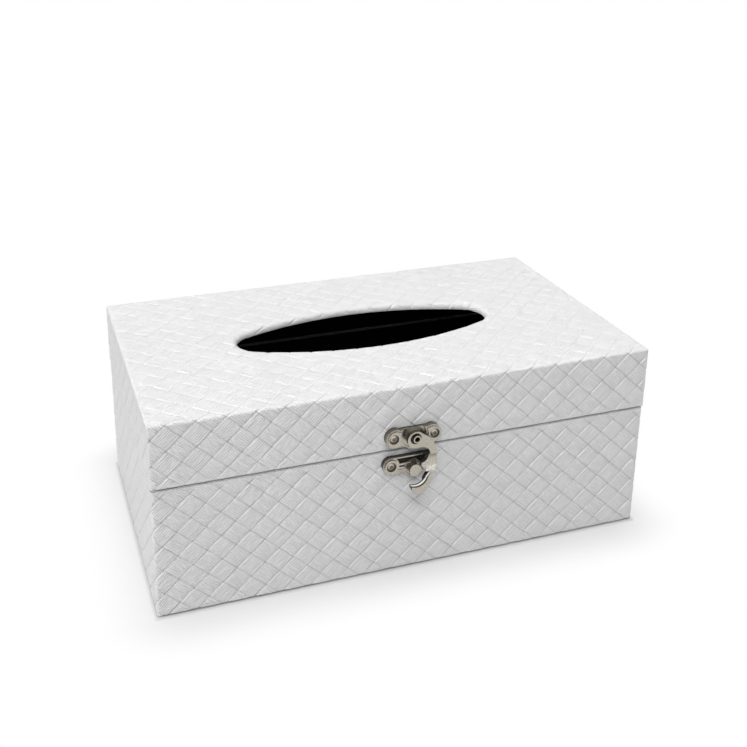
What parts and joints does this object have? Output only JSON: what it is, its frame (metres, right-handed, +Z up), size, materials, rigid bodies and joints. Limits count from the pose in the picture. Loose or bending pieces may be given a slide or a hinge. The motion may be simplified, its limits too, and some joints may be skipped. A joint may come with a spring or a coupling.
{
  "type": "tissue box",
  "caption": "Rectangular tissue box in woven-embossed leatherette, with a hinged lid, an oval slot in the lid, a black lining and a swing hook latch in front.",
  "frame": {"origin": "centre of the underside, on the surface the box stands on", "axes": "+X along the box to the right as seen from the latch side, +Y from the latch side to the hinge side, +Z up"},
  "size_m": [0.25, 0.1497, 0.098],
  "materials": {
    "leatherette": "white leatherette with a woven emboss, low sheen",
    "board": "raw fibreboard",
    "lining": "black flocked sheet",
    "felt": "black felt",
    "antique_nickel": "warm grey antique nickel plating"
  },
  "bodies": {
    "box": {"underside_felt": "felt", "base_floor_board": "board", "base_front_board": "board", "base_back_board": "board", "base_left_board": "board", "base_right_board": "board", "base_cover": "leatherette", "base_lining": "lining", "left_hinge_base_leaf": "antique_nickel", "right_hinge_base_leaf": "antique_nickel", "left_hinge_pin": "antique_nickel", "right_hinge_pin": "antique_nickel", "hinge_base_nails": "antique_nickel", "catch_plate": "antique_nickel", "catch_post": "antique_nickel", "catch_nails": "antique_nickel"},
    "lid": {"lid_top_board": "board", "lid_front_board": "board", "lid_back_board": "board", "lid_left_board": "board", "lid_right_board": "board", "lid_cover": "leatherette", "lid_lining": "lining", "left_hinge_lid_leaf": "antique_nickel", "right_hinge_lid_leaf": "antique_nickel", "hinge_lid_nails": "antique_nickel", "latch_plate": "antique_nickel", "latch_rivet": "antique_nickel", "latch_nails": "antique_nickel"},
    "hook": {"latch_hook": "antique_nickel"}
  },
  "joints": [
    {"name": "lid_hinge", "type": "hinge", "parent": "box", "child": "lid", "pos_m": [0, 0.06955, 0.066], "axis": [-1, 0, 0], "range_deg": [0, 110]},
    {"name": "hook_swing", "type": "hinge", "parent": "lid", "child": "hook", "pos_m": [-0.002, -0.07, 0.0738], "axis": [0, -1, 0], "range_deg": [0, 110]}
  ]
}
